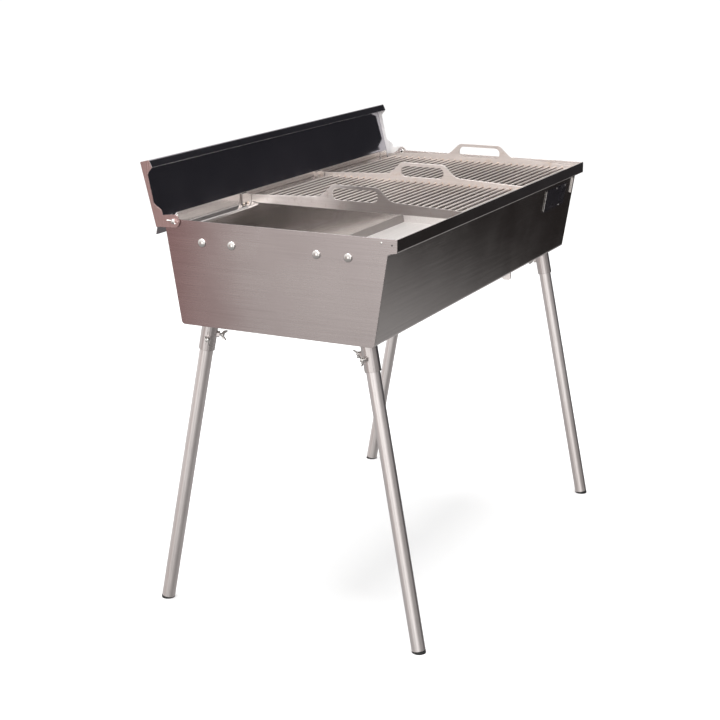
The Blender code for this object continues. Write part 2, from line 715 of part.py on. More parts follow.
def build_leg(corner, side_x, side_y, screw_mesh):
    foot, mouth, up = leg_axis(side_x, side_y)
    directions = screw_directions(side_x, side_y, up)
    add_piece(f"leg_socket_{corner}", socket_mesh(mouth, up, directions), STEEL, smooth=True)
    tube = add_piece(f"leg_tube_{corner}", leg_tube(foot, mouth, up), STEEL, smooth=True)
    cap = add_piece(f"foot_cap_{corner}", foot_cap(foot, up), BLACK_PLASTIC, smooth=True)
    slide = add_empty(f"leg_slide_{corner}", placed_along(foot, -up))
    put_under(slide, [tube, cap])
    for label, direction, height in zip(("outer", "inner"), directions, WING_SCREW_HEIGHTS):
        start = mouth + up * height + direction * LEG_RADIUS
        place = placed_along(start, direction)
        add_piece(f"wing_screw_{corner}_{label}", screw_mesh, BRIGHT_STEEL, place, smooth=True)


# ---------------------------------------------------------------- small fittings

def wall_plate(name, x_range, z_range, thickness, finish_values):
    """A small plate lying on the leaning front wall."""
    bottom_y = -(FLOOR_Y + WALL_LEAN * (z_range[0] - FLOOR_Z))
    top_y = -(FLOOR_Y + WALL_LEAN * (z_range[1] - FLOOR_Z))
    low = Vector((bottom_y, z_range[0]))
    high = Vector((top_y, z_range[1]))
    along = (high - low).normalized()
    outward = Vector((-along.y, along.x))
    outline = [low + outward * GAP, high + outward * GAP,
               high + outward * (GAP + thickness), low + outward * (GAP + thickness)]
    add_piece(name, plate_solid(outline, [], *x_range), finish_values)


def build_floor_tab():
    top = FLOOR_Z - GAP
    corner = 6 * MM
    outline = closed_outline([(TAB_Y[0], TAB_BOTTOM, corner), (TAB_Y[1], TAB_BOTTOM, corner),
                              (TAB_Y[1], top, 0), (TAB_Y[0], top, 0)])
    half = TAB_THICK / 2
    add_piece("floor_tab", plate_solid(outline, [], TAB_X - half, TAB_X + half), STEEL)


def main():
    clear_scene()
    build_trough()
    build_coal_tray()
    cup_mesh = cup_bolt_mesh()
    nut_mesh = wing_nut_mesh()
    screw_mesh = wing_screw_mesh()
    for end, side in (("left", -1), ("right", 1)):
        build_end_plate(f"end_plate_{end}", side)
        build_end_bolts(end, side, cup_mesh)
        build_hinge(end, side, nut_mesh)
    build_wind_shield()
    middle_right = GRATE_END_X - GRATE_LENGTH
    middle_left = middle_right - GRATE_SPACING
    build_grate("left_grate", middle_left - GRATE_LENGTH, middle_left)
    build_grate("right_grate", middle_right, GRATE_END_X)
    for number, x in enumerate((middle_left - GRATE_LENGTH, middle_left, GRATE_END_X), start=1):
        build_grate_stop(f"grate_stop_{number}", x)
    for corner, side_x, side_y in (("front_left", -1, -1), ("front_right", 1, -1),
                                   ("rear_left", -1, 1), ("rear_right", 1, 1)):
        build_leg(corner, side_x, side_y, screw_mesh)
    wall_plate("name_plate", NAME_PLATE_X, NAME_PLATE_Z, NAME_PLATE_THICK, BLACK_PLATE)
    wall_plate("wall_clip", CLIP_X, CLIP_Z, CLIP_THICK, BRIGHT_STEEL)
    build_floor_tab()
    bpy.context.view_layer.update()


main()
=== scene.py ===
"""Looks for the charcoal spit roaster: brushed steel materials, fine fittings, floor, light and camera."""

import json
import math

import bmesh
import bpy
from mathutils import Matrix, Vector, noise


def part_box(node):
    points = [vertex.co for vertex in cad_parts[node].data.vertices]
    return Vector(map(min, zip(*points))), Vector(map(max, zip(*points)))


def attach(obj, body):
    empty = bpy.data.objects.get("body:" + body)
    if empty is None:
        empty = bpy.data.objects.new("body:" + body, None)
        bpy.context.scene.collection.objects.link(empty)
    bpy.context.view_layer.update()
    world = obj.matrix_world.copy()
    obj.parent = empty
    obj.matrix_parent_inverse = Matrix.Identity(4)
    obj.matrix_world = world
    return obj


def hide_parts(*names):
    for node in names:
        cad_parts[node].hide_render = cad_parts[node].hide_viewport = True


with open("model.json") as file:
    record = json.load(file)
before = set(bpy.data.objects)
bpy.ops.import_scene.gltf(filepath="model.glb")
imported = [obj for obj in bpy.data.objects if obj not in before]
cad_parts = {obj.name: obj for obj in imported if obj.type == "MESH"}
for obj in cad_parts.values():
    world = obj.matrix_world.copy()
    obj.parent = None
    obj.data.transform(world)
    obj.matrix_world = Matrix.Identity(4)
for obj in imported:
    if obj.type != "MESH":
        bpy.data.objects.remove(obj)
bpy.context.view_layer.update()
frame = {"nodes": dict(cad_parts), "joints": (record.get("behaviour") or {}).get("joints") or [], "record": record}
record = frame["record"]
nodes = frame["nodes"]
MM = 0.001
CORNERS = ("front_left", "front_right", "rear_left", "rear_right")

# Fine geometry.
BAR_RADIUS = 3.5 * MM
BAR_COUNT = 29
CROSS_FLAT_INSET = 95 * MM
WING_TIP_REACH = 12.4 * MM
SCREW_HUB_OUT = 13.2 * MM
SCREW_TURN = {"outer": 0.35, "inner": -0.5}
NUT_TURN = {"outer_wing_nut_left": 1.26, "outer_wing_nut_right": -1.26, "inner_wing_nut_left": 0.0}
BOLT_HEAD_DEPTH = 5 * MM
TUBE_OUTER, TUBE_INNER = 16 * MM, 14.5 * MM
TUBE_START = 5.3 * MM
TUBE_CHAMFER = 0.3 * MM
SOCKET_WELD_RADIUS = 19.6 * MM
NAME_PLATE_THICK = 1.5 * MM
SHARP_ANGLE, FITTING_SHARP_ANGLE = 40, 50

# Steel surface. Noise scales are along and across the grain; ranges run from no effect to full effect.
FINE_GRAIN = (6, 1400)
WIDE_STREAKS = (1.6, 170)
# Edges are brightened by wear and by a painted highlight.
EDGE_WEAR_AND_HIGHLIGHT = 0.25
EDGE_RADIUS = 0.9 * MM
EDGE_WEAR_AND_HIGHLIGHT_COLOUR = (0.92, 0.90, 0.88)
STAIN_COLOUR = (0.20, 0.11, 0.06)
# A painted highlight: a bright line across the shield panel at one height.
PAINTED_HIGHLIGHT_COLOUR = (1.0, 1.0, 1.0)
PAINTED_HIGHLIGHT_FADE = (1.6 * MM, 0.8 * MM)
SHIELD_HIGHLIGHT_DROP = 16.25 * MM
# Painted shade on the inner walls below the grates.
PAINTED_GRATE_SHADE_COLOUR = (0.10, 0.09, 0.085)
PAINTED_GRATE_SHADE_AMOUNT = 0.55
PAINTED_GRATE_SHADE_INWARD = (-0.02, -0.12)
PAINTED_GRATE_SHADE_BELOW = (0.925, 0.910)
PAINTED_GRATE_SHADE_SLOPE, PAINTED_GRATE_SHADE_WANDER = 0.21, 0.03
PAINTED_GRATE_SHADE_LINE = (0.895, 0.925)
PAINTED_GRATE_SHADE_LEFT_END = (-0.16, -0.04)
# Painted reflections that grow towards the rear: pink on the left end plate, bright on the left grate plate.
PAINTED_REFLECTION_WANDER = 0.12
PINK_PAINTED_REFLECTION = (0.36, 0.235, 0.235)
BRIGHT_PAINTED_REFLECTION = (0.98, 0.93, 0.90)

# What the metal mirrors: a brightness by height, and lobes. A lobe is a direction and the cosines between
# which its effect grows.
SKY_STOPS = ((0.0, 0.30), (0.30, 0.40), (0.42, 0.70), (0.55, 0.92), (0.75, 1.2))
SKY_TINT = (1, 0.965, 0.955)
DARK_SIDE = ((0.9, -0.436, 0), 0.60, 0.90)
DARK_SIDE_BOTTOM, DARK_SIDE_TOP = (-0.415, -0.30), (0.60, 0.36)
DARK_SIDE_CHANGE = (-0.20, -0.10)
DARK_LOW, DARK_HIGH = (0.018, 0.015, 0.0145), (0.033, 0.032, 0.037)
FRONT_FLAG, FRONT_FLAG_AMOUNT = ((-0.08, -0.98, -0.12), 0.72, 0.95), 0.75
FRONT_FLAG_COLOUR = (0.12, 0.112, 0.108)
LOBES = (
    (((-0.91, -0.36, -0.20), 0.95, 0.995), (1.22, 1.19, 1.17)),
    (((-0.95, 0.27, -0.12), 0.965, 0.995), (1.55, 1.53, 1.50)),
    (((-0.74, 0.64, -0.18), 0.95, 0.998), (0.50, 0.42, 0.40)),
)
ROOM_STRENGTH = 1.08

FLOOR_REACH = 30
FLOOR_SHADE = 0.96
CAMERA_PLACE = (-3.4384, -1.6487, 1.5956)
CAMERA_ANGLES = (-63.141, 15.988, -0.300)
CAMERA_LENS = 76.287


# ---------------------------------------------------------------- material nodes

class Graph:
    """A short way to build a node tree."""

    def __init__(self, tree):
        self.tree = tree

    def add(self, kind, **settings):
        node = self.tree.nodes.new(kind)
        for key, value in settings.items():
            setattr(node, key, value)
        return node

    def put(self, value, socket):
        if isinstance(value, bpy.types.NodeSocket):
            self.tree.links.new(value, socket)
        elif isinstance(value, (tuple, list)) and len(value) == 3 and len(socket.default_value) == 4:
            socket.default_value = (*value, 1)
        else:
            socket.default_value = value

    def math(self, operation, a, b=0.0):
        node = self.add("ShaderNodeMath", operation=operation)
        self.put(a, node.inputs[0])
        self.put(b, node.inputs[1])
        return node.outputs[0]

    def ranged(self, value, low, high, to_low=0.0, to_high=1.0, smooth=True):
        node = self.add("ShaderNodeMapRange", interpolation_type="SMOOTHSTEP" if smooth else "LINEAR")
        for socket, item in zip(node.inputs, (value, low, high, to_low, to_high)):
            self.put(item, socket)
        return node.outputs[0]

    def mix(self, factor, a, b, blend="MIX"):
        node = self.add("ShaderNodeMix", data_type="RGBA", blend_type=blend)
        self.put(factor, node.inputs[0])
        self.put(a, node.inputs[6])
        self.put(b, node.inputs[7])
        return node.outputs[2]

    def axes(self, vector):
        node = self.add("ShaderNodeSeparateXYZ")
        self.put(vector, node.inputs[0])
        return node.outputs

    def dot(self, a, b):
        node = self.add("ShaderNodeVectorMath", operation="DOT_PRODUCT")
        self.put(a, node.inputs[0])
        self.put(b, node.inputs[1])
        return node.outputs["Value"]

    def stretched(self, scale, rotation=(0, 0, 0)):
        coordinate = self.add("ShaderNodeTexCoord").outputs["Object"]
        node = self.add("ShaderNodeMapping")
        self.put(coordinate, node.inputs["Vector"])
        node.inputs["Rotation"].default_value = rotation
        node.inputs["Scale"].default_value = scale
        return node.outputs[0]

    def noise(self, vector, detail=3.0, roughness=0.5):
        node = self.add("ShaderNodeTexNoise")
        self.put(vector, node.inputs["Vector"])
        node.inputs["Scale"].default_value = 1.0
        node.inputs["Detail"].default_value = detail
        node.inputs["Roughness"].default_value = roughness
        return node.outputs[0]

    def bump(self, height, strength, distance, normal=None):
        node = self.add("ShaderNodeBump")
        node.inputs["Strength"].default_value = strength
        node.inputs["Distance"].default_value = distance
        self.put(height, node.inputs["Height"])
        if normal is not None:
            self.put(normal, node.inputs["Normal"])
        return node.outputs[0]


def new_material(name):
    material = bpy.data.materials.new(name)
    material.use_nodes = True
    graph = Graph(material.node_tree)
    return material, graph, material.node_tree.nodes["Principled BSDF"]


def grain_scale(axis, scales):
    along_grain, across = scales
    return tuple(along_grain if letter == axis else across for letter in "XYZ")


def with_painted_side_shade(g, colour, facing, painted_side_shade):
    """Painted shade: a darker second colour on the faces that look a given way, as on a bar's underside."""
    painted_side_shade_colour, axis, low, high = painted_side_shade
    return g.mix(g.ranged(facing[axis], low, high), colour, painted_side_shade_colour)


def with_painted_highlight_line(g, colour, place, highlight_z):
    """A painted highlight: a bright line at one height."""
    distance = g.math("ABSOLUTE", g.math("SUBTRACT", place["Z"], highlight_z))
    return g.mix(g.ranged(distance, *PAINTED_HIGHLIGHT_FADE), colour, PAINTED_HIGHLIGHT_COLOUR)


def with_painted_grate_shade(g, colour, place, facing, smudge, amount):
    """Painted shade: darkens the inner walls below the grates, where the grates shade them, with a border that
    rises to the left.
    """
    inward = g.math("ADD", g.math("MULTIPLY", place["X"], facing["X"]),
                    g.math("MULTIPLY", place["Y"], facing["Y"]))
    below = g.math("MULTIPLY", g.ranged(inward, *PAINTED_GRATE_SHADE_INWARD), g.ranged(place["Z"], *PAINTED_GRATE_SHADE_BELOW))
    line = g.math("ADD", place["Z"], g.math("MULTIPLY", place["X"], PAINTED_GRATE_SHADE_SLOPE))
    line = g.math("ADD", line, g.math("MULTIPLY", smudge, PAINTED_GRATE_SHADE_WANDER))
    covered = g.math("MULTIPLY", g.ranged(line, *PAINTED_GRATE_SHADE_LINE), g.ranged(place["X"], *PAINTED_GRATE_SHADE_LEFT_END))
    return g.mix(g.math("MULTIPLY", g.math("MULTIPLY", below, covered), amount), colour, PAINTED_GRATE_SHADE_COLOUR)


def with_painted_reflection(g, colour, place, drift, painted_reflection):
    """A painted reflection: a second colour that grows with Y across a wandering border."""
    painted_reflection_colour, start, end = painted_reflection
    wander = g.math("MULTIPLY", g.math("SUBTRACT", drift, 0.5), PAINTED_REFLECTION_WANDER)
    grown = g.ranged(g.math("ADD", place["Y"], wander), start, end)
    return g.mix(grown, colour, painted_reflection_colour)


def with_grain(g, colour, fine, streaks, grain, streak):
    """Lightens and darkens the colour along the brushing."""
    lift = g.ranged(streaks, 0.3, 0.7, 1 - streak, 1 + streak, smooth=False)
    lift = g.math("MULTIPLY", lift, g.ranged(fine, 0.25, 0.75, 1 - grain, 1 + grain, smooth=False))
    grey = g.add("ShaderNodeCombineColor")
    for socket in grey.inputs[:3]:
        g.put(lift, socket)
    return g.mix(1.0, colour, grey.outputs[0], "MULTIPLY")


def with_stain(g, colour, smudge, amount, stain_colour):
    """Scattered spots."""
    spots = g.noise(g.stretched((38, 38, 38)), detail=6, roughness=0.7)
    mask = g.math("MULTIPLY", g.ranged(spots, 0.52, 0.70), g.ranged(smudge, 0.40, 0.62))
    return g.mix(g.math("MULTIPLY", mask, amount), colour, stain_colour)


def with_worn_and_highlighted_edges(g, colour, rounded, true_normal, smudge):
    """Brightens the folds and corners, unevenly: wear and a painted highlight."""
    turn = g.dot(rounded, true_normal)
    worn_and_highlighted = g.math("MULTIPLY", g.ranged(turn, 0.995, 0.90), g.ranged(smudge, 0.35, 0.6, 0.4, 1.0))
    return g.mix(g.math("MULTIPLY", worn_and_highlighted, EDGE_WEAR_AND_HIGHLIGHT), colour, EDGE_WEAR_AND_HIGHLIGHT_COLOUR)


def steel(name, base, shade, roughness, axis, grain=0.06, streak=0.04, stain=0.0, bump=0.10,
          stain_colour=STAIN_COLOUR, painted_reflection=None, painted_grate_shade=None, painted_side_shade=None, metal=1.0, highlight_z=None):
    """Brushed steel: fine grain along an axis, wider streaks, slow colour drift, edges brightened by wear and a
    painted highlight, stains. The painted reflection is a colour and the Y values between which it grows. The
    painted shade below the grates is how dark the inner walls get. The painted shade on one side is a colour, an
    axis and the values of the normal on it between which the colour grows. The painted highlight line is a bright
    line at a given height."""
    material, g, shader = new_material(name)
    fine = g.noise(g.stretched(grain_scale(axis, FINE_GRAIN)), detail=2)
    streaks = g.noise(g.stretched(grain_scale(axis, WIDE_STREAKS)), detail=4, roughness=0.6)
    drift = g.noise(g.stretched((2.3, 2.3, 3.1)), detail=3)
    smudge = g.noise(g.stretched((9, 9, 9)), detail=5, roughness=0.62)
    true_normal = g.add("ShaderNodeNewGeometry").outputs["Normal"]
    place = g.axes(g.stretched((1, 1, 1)))
    facing = g.axes(true_normal)
    bevel = g.add("ShaderNodeBevel", samples=4)
    bevel.inputs["Radius"].default_value = EDGE_RADIUS
    rounded = bevel.outputs[0]

    colour = g.mix(g.ranged(drift, 0.35, 0.68), base, shade)
    # Painted shade on the faces that look one way.
    if painted_side_shade:
        colour = with_painted_side_shade(g, colour, facing, painted_side_shade)
    # A painted highlight line.
    if highlight_z:
        colour = with_painted_highlight_line(g, colour, place, highlight_z)
    # Painted shade below the grates.
    if painted_grate_shade:
        colour = with_painted_grate_shade(g, colour, place, facing, smudge, painted_grate_shade)
    # A painted reflection.
    if painted_reflection:
        colour = with_painted_reflection(g, colour, place, drift, painted_reflection)
    colour = with_grain(g, colour, fine, streaks, grain, streak)
    if stain:
        colour = with_stain(g, colour, smudge, stain, stain_colour)
    # Wear and a painted highlight on the edges.
    colour = with_worn_and_highlighted_edges(g, colour, rounded, true_normal, smudge)

    g.put(colour, shader.inputs["Base Color"])
    g.put(g.math("ADD", g.ranged(smudge, 0.3, 0.7, roughness - 0.02, roughness + 0.03),
                 g.ranged(fine, 0.2, 0.8, -0.03, 0.03)), shader.inputs["Roughness"])
    shader.inputs["Metallic"].default_value = metal
    g.put(g.bump(g.math("ADD", fine, streaks), bump, 0.0004, rounded), shader.inputs["Normal"])
    return material


def black_gloss(name):
    """Gloss black sheet with fine orange peel and a few light scuffs."""
    material, g, shader = new_material(name)
    scuff = g.noise(g.stretched((14, 60, 60), (0.3, 0.2, 0.5)), detail=2)
    colour = g.mix(g.ranged(scuff, 0.60, 0.80), (0.011, 0.010, 0.013), (0.028, 0.027, 0.032))
    g.put(colour, shader.inputs["Base Color"])
    g.put(g.ranged(scuff, 0.3, 0.8, 0.22, 0.30), shader.inputs["Roughness"])
    peel = g.noise(g.stretched((110, 110, 110)), detail=1)
    g.put(g.bump(peel, 0.01, 0.0002), shader.inputs["Normal"])
    return material


def moulded_black(name):
    """Matt black plastic, slightly grained and dusty."""
    material, g, shader = new_material(name)
    dust = g.noise(g.stretched((60, 60, 60)), detail=5)
    colour = g.mix(g.ranged(dust, 0.5, 0.75), (0.018, 0.018, 0.018), (0.06, 0.055, 0.05))
    g.put(colour, shader.inputs["Base Color"])
    g.put(g.ranged(dust, 0.3, 0.7, 0.45, 0.65), shader.inputs["Roughness"])
    skin = g.noise(g.stretched((1800, 1800, 1800)), detail=2)
    g.put(g.bump(skin, 0.15, 0.0002), shader.inputs["Normal"])
    return material


def weld_steel(name):
    """A weld bead: bright metal with a straw heat tint."""
    material, g, shader = new_material(name)
    tint = g.noise(g.stretched((120, 120, 120)), detail=3)
    colour = g.mix(g.ranged(tint, 0.35, 0.65), (0.92, 0.85, 0.78), (0.80, 0.56, 0.36))
    g.put(colour, shader.inputs["Base Color"])
    g.put(g.ranged(tint, 0.3, 0.7, 0.28, 0.5), shader.inputs["Roughness"])
    shader.inputs["Metallic"].default_value = 1.0
    g.put(g.bump(g.noise(g.stretched((900, 900, 900))), 0.2, 0.0003), shader.inputs["Normal"])
    return material


# Height of the painted highlight line on the shield.
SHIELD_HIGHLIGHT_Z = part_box("wind_shield_panel")[1].z - SHIELD_HIGHLIGHT_DROP
MATERIALS = {
    # The shell carries painted shade below the grates.
    "shell": steel("shell_steel", (0.72, 0.695, 0.68), (0.68, 0.65, 0.635), 0.17, "X", painted_grate_shade=PAINTED_GRATE_SHADE_AMOUNT),
    # The tray's faces that look to the front carry painted shade.
    "tray": steel("coal_tray_steel", (0.98, 0.945, 0.925), (0.93, 0.89, 0.865), 0.38, "X", grain=0.04,
                  painted_side_shade=((0.34, 0.31, 0.30), "Y", -0.3, -0.7), metal=0.25),
    # The pin hole colour is painted shade.
    "pin": steel("pin_hole_painted_shade", (0.10, 0.095, 0.09), (0.06, 0.06, 0.055), 0.5, "X"),
    # The end plates carry painted shade below the grates.
    "end": steel("end_plate_steel", (0.77, 0.735, 0.72), (0.73, 0.685, 0.67), 0.25, "Y", painted_grate_shade=PAINTED_GRATE_SHADE_AMOUNT),
    # The left end plate turns pink towards the rear: a painted reflection.
    "end_left": steel("left_end_plate_steel_painted_reflection", (0.555, 0.51, 0.505), (0.51, 0.465, 0.46), 0.25, "Y",
                      bump=0.05, painted_reflection=(PINK_PAINTED_REFLECTION, 0.02, 0.30)),
    # The shield steel is darker and bluer than the other steel: partly a painted dark reflection.
    "shield": steel("shield_steel_painted_dark_reflection", (0.42, 0.405, 0.44), (0.36, 0.355, 0.385), 0.13, "X", grain=0.03,
                    # The shield's bright line is a painted highlight.
                    streak=0.02, bump=0.03, highlight_z=SHIELD_HIGHLIGHT_Z),
    "shield_side": steel("shield_side_steel", (0.95, 0.94, 0.93), (0.91, 0.90, 0.89), 0.30, "Z", metal=0.3),
    # The left side plate is a darker, pink copy of the side plate steel: a painted reflection.
    "shield_side_left": steel("left_shield_side_painted_reflection", (0.58, 0.42, 0.41), (0.53, 0.37, 0.36), 0.25, "Z"),
    "grate": steel("grate_plate_steel", (0.71, 0.66, 0.635), (0.63, 0.575, 0.545), 0.36, "Y", stain=0.35,
                   stain_colour=(0.50, 0.30, 0.17), metal=0.7),
    # The left grate plate brightens towards the rear: a painted reflection.
    "grate_left": steel("left_grate_plate_steel_painted_reflection", (0.33, 0.305, 0.295), (0.28, 0.255, 0.245), 0.33, "Y",
                        stain=0.4, painted_reflection=(BRIGHT_PAINTED_REFLECTION, -0.02, 0.11), metal=0.8),
    # The bars' undersides carry painted shade.
    "bar": steel("grate_bar_steel", (0.74, 0.685, 0.65), (0.62, 0.56, 0.52), 0.34, "X", stain=0.5,
                 painted_side_shade=((0.13, 0.11, 0.10), "Z", 0.40, -0.15)),
    "tube": steel("tube_steel", (0.93, 0.89, 0.875), (0.87, 0.82, 0.80), 0.33, "Z", grain=0.05),
    # The socket steel is a darker copy of the tube steel: painted shade from the box above.
    "socket": steel("socket_steel_painted_shade", (0.74, 0.70, 0.69), (0.68, 0.635, 0.62), 0.30, "Z", grain=0.05),
    "hardware": steel("hardware_steel", (0.84, 0.83, 0.81), (0.74, 0.72, 0.70), 0.11, "Z", grain=0.03,
                      streak=0.02, bump=0.03),
    "stop": steel("stop_steel", (0.78, 0.75, 0.73), (0.66, 0.63, 0.61), 0.24, "X"),
    "weld": weld_steel("weld_bead"),
    "black": black_gloss("name_plate_black"),
    "plastic": moulded_black("foot_plastic"),
}


# The start of a CAD node's name and its material. The first that fits is used.
PAINT_RULES = (
    ("trough_shell", "shell"),
    ("coal_tray", "tray"),
    ("end_plate_left", "end_left"),
    ("end_plate", "end"),
    ("backing_strip", "end"),
    ("cup_bolt", "hardware"),
    ("wind_shield_panel", "shield"),
    ("shield_side_left", "shield_side_left"),
    ("shield_side", "shield_side"),
    ("hinge_stud", "hardware"),
    ("outer_wing_nut", "hardware"),
    ("inner_wing_nut", "hardware"),
    ("wing_screw", "hardware"),
    ("grate_stop", "stop"),
    ("left_grate_left", "grate_left"),
    ("left_grate", "grate"),
    ("right_grate", "grate"),
    ("leg_socket", "socket"),
    ("leg_tube", "tube"),
    ("foot_cap", "plastic"),
    ("name_plate", "black"),
    ("wall_clip", "stop"),
    ("floor_tab", "end"),
)


def paint_cad_nodes():
    for name, node in nodes.items():
        key = next(key for start, key in PAINT_RULES if name.startswith(start))
        node.data.materials.clear()
        node.data.materials.append(MATERIALS[key])


# ---------------------------------------------------------------- piece making

def piece(name, bm, key, body, replaced=(), sharp=SHARP_ANGLE):
    """A finished piece from a bmesh, riding on a body. Sharp is the fold angle in degrees left unsmoothed."""
    bmesh.ops.recalc_face_normals(bm, faces=bm.faces)
    mesh = bpy.data.meshes.new(name)
    bm.to_mesh(mesh)
    bm.free()
    item = bpy.data.objects.new(name, mesh)
    bpy.context.scene.collection.objects.link(item)
    mesh.materials.append(MATERIALS[key])
    mesh.shade_smooth()
    mesh.set_sharp_from_angle(angle=math.radians(sharp))
    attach(item, body)
    if replaced:
        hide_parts(*replaced)


def joined(parts):
    """One bmesh holding several."""
    whole = bmesh.new()
    for part in parts:
        mesh = bpy.data.meshes.new("scratch")
        part.to_mesh(mesh)
        part.free()
        whole.from_mesh(mesh)
        bpy.data.meshes.remove(mesh)
    return whole


def along(point, direction):
    """Placement with local Z along the direction and local X as upright as it can be."""
    z_axis = Vector(direction).normalized()
    up = Vector((0, 0, 1)) if abs(z_axis.z) < 0.99 else Vector((1, 0, 0))
    x_axis = (up - z_axis * up.dot(z_axis)).normalized()
    turn = Matrix((x_axis, z_axis.cross(x_axis), z_axis)).transposed().to_4x4()
    return Matrix.Translation(point) @ turn


def circle(radius, count, z=0.0):
    """Points round local Z."""
    angles = [2 * math.pi * i / count for i in range(count)]
    return [Vector((radius * math.cos(a), radius * math.sin(a), z)) for a in angles]


def turned(profile, segments=32, place=Matrix.Identity(4)):
    """A closed body of revolution about local Z from (r, z) points. A zero radius makes a tip."""
    bm = bmesh.new()
    rings = []
    for r, z in profile:
        points = circle(r, segments, z) if r > 0 else [(0, 0, z)]
        rings.append([bm.verts.new(point) for point in points])
    for lower, upper in zip(rings, rings[1:]):
        for i in range(segments):
            loop = [lower[i - 1 if len(lower) > 1 else 0], lower[i if len(lower) > 1 else 0],
                    upper[i if len(upper) > 1 else 0], upper[i - 1 if len(upper) > 1 else 0]]
            unique = list(dict.fromkeys(loop))
            if len(unique) > 2:
                bm.faces.new(unique)
    bm.transform(place)
    return bm


def skinned(bm, rings):
    """Closes rings of vertices into one tube with ends."""
    for lower, upper in zip(rings, rings[1:]):
        for i in range(len(lower)):
            bm.faces.new((lower[i - 1], lower[i], upper[i], upper[i - 1]))
    bm.faces.new(rings[0])
    bm.faces.new(rings[-1])


def thread(radius, low, high, pitch, depth):
    """A threaded rod about local Z, its surface rippled by a helix."""
    segments, steps_per_turn = 20, 6
    steps = max(2, round((high - low) / pitch * steps_per_turn))
    bm = bmesh.new()
    rings = []
    for k in range(steps + 1):
        z = low + (high - low) * k / steps
        ring = []
        for i in range(segments):
            angle = 2 * math.pi * i / segments
            phase = 2 * math.pi * (z / pitch) - angle
            r = radius - depth * (0.5 + 0.5 * math.cos(phase))
            ring.append(bm.verts.new((r * math.cos(angle), r * math.sin(angle), z)))
        rings.append(ring)
    skinned(bm, rings)
    return bm


def wing_face(bm, hub, base, side, face, across, steps):
    """One face of a forged wing as rows of vertices, thick at the root and thin at the rim."""
    rows = []
    for i in range(steps + 1):
        s = i / steps
        reach = hub * 0.55 + (WING_TIP_REACH - hub * 0.55) * s
        middle = base + 3.2 * MM + 7.6 * MM * s ** 1.3
        half = (2.6 + 2.4 * math.sin(math.pi * min(1, s * 0.95)) ** 0.8) * MM
        half *= math.sqrt(max(0.02, 1 - max(0, (s - 0.72) / 0.28) ** 2))
        row = []
        for j in range(across + 1):
            t = 2 * j / across - 1
            thick = (1.9 - 0.9 * s) * MM * math.sqrt(max(0, 1 - t * t * 0.98))
            row.append(bm.verts.new((side * reach, face * thick, middle + half * t)))
        rows.append(row)
    return rows


def forged_wings(hub, base):
    """Two forged wings rising along Z from a hub, spread along X."""
    bm = bmesh.new()
    across, steps = 8, 12
    for side in (-1, 1):
        front, back = (wing_face(bm, hub, base, side, face, across, steps) for face in (-1, 1))
        for sheet in (front, back):
            for a, b in zip(sheet, sheet[1:]):
                for j in range(across):
                    bm.faces.new((a[j], a[j + 1], b[j + 1], b[j]))
        for a, b, c, d in zip(front, front[1:], back, back[1:]):
            bm.faces.new((a[0], b[0], d[0], c[0]))
            bm.faces.new((a[-1], b[-1], d[-1], c[-1]))
        last_front, last_back = front[-1], back[-1]
        for j in range(across):
            bm.faces.new((last_front[j], last_front[j + 1], last_back[j + 1], last_back[j]))
    return bm


def bead(path, radius, seed=0.0, segments=8, closed=False):
    """A rippled weld bead along a path. A closed path makes a loop; an open one tapers at both ends."""
    bm = bmesh.new()
    rings = []
    count = len(path)
    for k, point in enumerate(path):
        ahead = path[(k + 1) % count] if closed else path[min(k + 1, count - 1)]
        behind = path[k - 1] if closed else path[max(k - 1, 0)]
        place = along(point, ahead - behind)
        drift = noise.noise(Vector((seed, k * 0.37, 0)))
        swell = radius * (0.82 + 0.18 * math.cos(k * math.pi) + 0.16 * drift)
        if not closed and k in (0, count - 1):
            swell *= 0.35
        rings.append([bm.verts.new(place @ spot) for spot in circle(swell, segments)])
    if not closed:
        skinned(bm, rings)
        return bm
    for lower, upper in zip(rings, rings[1:] + rings[:1]):
        for i in range(segments):
            bm.faces.new((lower[i - 1], lower[i], upper[i], upper[i - 1]))
    return bm


def straight(start, end, step):
    """Evenly spaced points from one end to the other."""
    start, end = Vector(start), Vector(end)
    count = max(2, round((end - start).length / step))
    return [start.lerp(end, i / count) for i in range(count + 1)]


def dome(radius, height, base, steps):
    """The profile of a rounded head, from its rim to its top."""
    angles = [math.pi / 2 * i / steps for i in range(steps)]
    return [(radius * math.cos(a), base + height * math.sin(a)) for a in angles] + [(0, base + height)]


# ---------------------------------------------------------------- pieces

def grate_bar(number, low, high, y, centre_z):
    """One round bar, very slightly out of level."""
    tilt = 0.25 * MM * noise.noise(Vector((number * 3.1, low.x * 7, 0)))
    length = high.x - low.x
    profile = [(0, 0), (BAR_RADIUS, 0), (BAR_RADIUS, length), (0, length)]
    return turned(profile, 18, along((low.x, y, centre_z + tilt), (1, 0, 0)))


def bar_end_weld(number, x, way, y, centre_z):
    """The small weld where a bar meets a grate plate."""
    size = (3.9 + 0.5 * noise.noise(Vector((number * 1.7, x * 9, 2)))) * MM
    profile = [(0, -0.2 * MM), (size, -0.2 * MM), (size * 0.94, 0.7 * MM), (size * 0.8, 1.5 * MM),
               (BAR_RADIUS, 2.1 * MM), (0, 2.1 * MM)]
    return turned(profile, 14, along((x, y, centre_z - 0.2 * MM), (way, 0, 0)))


def cross_flat(x, first, last, bottom, top):
    """An upright flat that joins the bars from below."""
    flat = bmesh.new()
    size = (4 * MM, last - first + 6 * MM, top - bottom)
    place = Matrix.Translation((x, (first + last) / 2, bottom + size[2] / 2))
    bmesh.ops.create_cube(flat, size=1, matrix=place @ Matrix.Diagonal((*size, 1)))
    bmesh.ops.bevel(flat, geom=flat.edges[:], offset=0.5 * MM, segments=2, affect="EDGES")
    return flat


